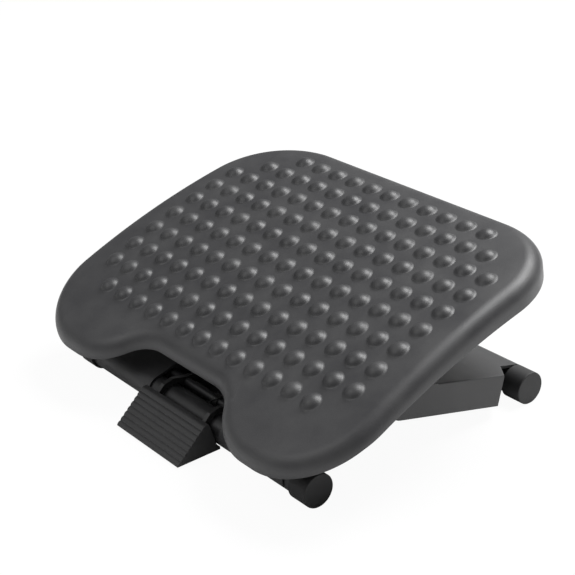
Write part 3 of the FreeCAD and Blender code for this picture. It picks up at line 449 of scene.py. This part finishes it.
def build_materials():
    """Every finish of the footrest by its record slot."""
    return {
        # Black polypropylene off a spark-eroded mould: a dense fine grain, satin where the light grazes it. The
        # real grain is about 0.4 mm and is drawn at 1.3 mm so that it shows.
        "platform_plastic": grained("moulded_polypropylene_plate", "#28282a", "#333334", 0.5, 1.3, 0.14),
        "leg_plastic": grained("moulded_polypropylene_legs", "#242425", "#2c2c2d", 0.52, 1.5, 0.08),
        "pedal_plastic": grained("moulded_polypropylene_pedal", "#1e1e1f", "#262627", 0.52, 1.4, 0.06),
        # Moulded thermoplastic rubber: duller and softer in its highlight than the plates.
        "foot_rubber": grained("moulded_rubber_caps", "#151516", "#1b1b1c", 0.66, 1.2, 0.05),
        # Powder coat on the steel tubes, and black coating on the small steel parts: orange-peel waves about two
        # millimetres long under a satin skin.
        "painted_tube": grained("powder_coated_tube", "#1b1b1c", "#222223", 0.45, 2.0, 0.03),
        "black_steel": grained("black_coated_steel", "#1a1a1a", "#222222", 0.42, 2.0, 0.03),
        # Bright zinc plate: metal with a faint cloudy grain.
        "zinc_steel": grained("zinc_plated_steel", "#b4b5b8", "#c6c7ca", 0.34, 1.2, 0.01, 12.0, {"Metallic": 1.0}),
        "zinc_screw": grained("zinc_plated_screws", "#aeb0b3", "#c0c2c5", 0.36, 0.9, 0.01, 8.0, {"Metallic": 1.0}),
        # Oiled spring wire: nearly black, with the tightest highlight.
        "spring_steel": grained("oiled_spring_wire", "#161616", "#1e1e1e", 0.32, 0.8, 0.01, 8.0),
        # Acetal tube: black, smooth and a little waxy.
        "acetal": grained("black_acetal", "#121213", "#18181a", 0.4, 1.0, 0.01, 10.0),
        # Unfilled nylon: milky and slightly glossy.
        "nylon": grained("natural_nylon", "#d8d5ca", "#e2dfd5", 0.42, 1.0, 0.01, 10.0),
        # Pressed fibre washers and the brake's friction block: brown, dull and short-grained.
        "friction_disc": grained("pressed_fibre", "#5a4636", "#6a5442", 0.8, 0.6, 0.04, 5.0),
        "brake_rubber": grained("friction_block", "#2a2420", "#332c27", 0.75, 0.8, 0.05, 6.0),
    }


def dress_nodes(finishes):
    """Gives every CAD node the finish of its record slot."""
    slots = {part["node"]: part["material_slot"] for part in frame["record"]["subparts"]}
    for name, obj in frame["nodes"].items():
        obj.data.materials.clear()
        obj.data.materials.append(finishes[slots[name]])


def dress_footplate(finishes):
    """The numpy footplate in place of the CAD one."""
    for obj in (footplate_skin(), footplate_bumps(), footplate_ribs(), footplate_bosses()):
        obj.data.materials.append(finishes["platform_plastic"])
        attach(obj, "platform")
        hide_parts("platform_plate")


# Floor, light and camera


def floor_material():
    """Matt white floor: it keeps the shadow, and the camera sees it lifted to near white."""
    material = bpy.data.materials.new("pale_floor")
    material.use_nodes = True
    tree = material.node_tree
    tree.nodes.clear()
    path = add(tree, "ShaderNodeLightPath")
    matt = add(tree, "ShaderNodeBsdfDiffuse", {"Color": linear("#e8e8e8")})
    glow = add(tree, "ShaderNodeEmission", {"Color": linear("#ffffff"), "Strength": 1.0})
    lifting = {"operation": "MULTIPLY", 1: FLOOR_GLOW}
    share = add(tree, "ShaderNodeMath", lifting, {0: path.outputs["Is Camera Ray"]})
    seen = add(tree, "ShaderNodeMixShader", {}, {0: share.outputs[0], 1: matt.outputs[0], 2: glow.outputs[0]})
    add(tree, "ShaderNodeOutputMaterial", {}, {"Surface": seen.outputs[0]})
    return material


def make_floor():
    """A wide flat floor at the height of the foot caps: a square about the origin."""
    corners = ((-1, -1), (1, -1), (1, 1), (-1, 1))
    verts = np.array([[x * FLOOR_HALF, y * FLOOR_HALF, -FLOOR_DROP] for x, y in corners])
    floor = mesh_piece("studio_floor", verts, [[0, 1, 2, 3]])
    floor.data.materials.append(floor_material())


def make_world():
    """An even grey sky that lights the object, white where the camera looks."""
    world = bpy.data.worlds.new("studio")
    world.use_nodes = True
    tree = world.node_tree
    tree.nodes.clear()
    path = add(tree, "ShaderNodeLightPath")
    sky = add(tree, "ShaderNodeBackground", {"Color": linear("#ffffff"), "Strength": SKY_STRENGTH})
    white = add(tree, "ShaderNodeBackground", {"Color": linear("#ffffff"), "Strength": 1.0})
    mixed = {0: path.outputs["Is Camera Ray"], 1: sky.outputs[0], 2: white.outputs[0]}
    seen = add(tree, "ShaderNodeMixShader", {}, mixed)
    add(tree, "ShaderNodeOutputWorld", {}, {"Surface": seen.outputs[0]})
    bpy.context.scene.world = world


def softbox(name, place, target, size, watts):
    """A square area lamp at a place, turned to face a target."""
    lamp = bpy.data.lights.new(name, "AREA")
    lamp.shape, lamp.size, lamp.energy = "SQUARE", size, watts
    obj = bpy.data.objects.new(name, lamp)
    bpy.context.collection.objects.link(obj)
    obj.location = place
    obj.rotation_euler = (Vector(target) - Vector(place)).to_track_quat("-Z", "Y").to_euler()


def make_camera():
    """The photograph's camera: a level view turned by the yaw, tipped down by the pitch, then rolled."""
    yaw, pitch, roll = (math.radians(angle) for angle in CAMERA_TURN)
    level_ahead = np.array([math.sin(yaw), math.cos(yaw), 0.0])
    level_right = np.array([math.cos(yaw), -math.sin(yaw), 0.0])
    ahead = level_ahead * math.cos(pitch) - np.array([0, 0, 1]) * math.sin(pitch)
    level_down = np.cross(ahead, level_right)
    right = level_right * math.cos(roll) + level_down * math.sin(roll)
    down = level_down * math.cos(roll) - level_right * math.sin(roll)
    data = bpy.data.cameras.new("photo_camera")
    data.sensor_width, data.lens = SENSOR_WIDTH, CAMERA_FOCUS / PICTURE_WIDTH * SENSOR_WIDTH
    data.clip_start, data.clip_end = 0.05, 50.0
    camera = bpy.data.objects.new("photo_camera", data)
    bpy.context.collection.objects.link(camera)
    x, y, z = CAMERA_PLACE
    turn = np.eye(4)
    turn[:3, 0], turn[:3, 1], turn[:3, 2] = right, -down, -ahead
    turn[:3, 3] = (x, y - BAR_TO_ORIGIN, z)
    camera.matrix_world = Matrix(turn.tolist())
    bpy.context.scene.camera = camera


finishes = build_materials()
dress_nodes(finishes)
dress_footplate(finishes)
make_floor()
make_world()
softbox("key", (0.2, 1.7, 2.4), (0, 0, 0.1), 1.5, 150)
softbox("fill", (-0.7, -1.7, 2.0), (0, 0, 0.1), 1.5, 22)
make_camera()
bpy.context.scene.view_settings.view_transform = "Standard"
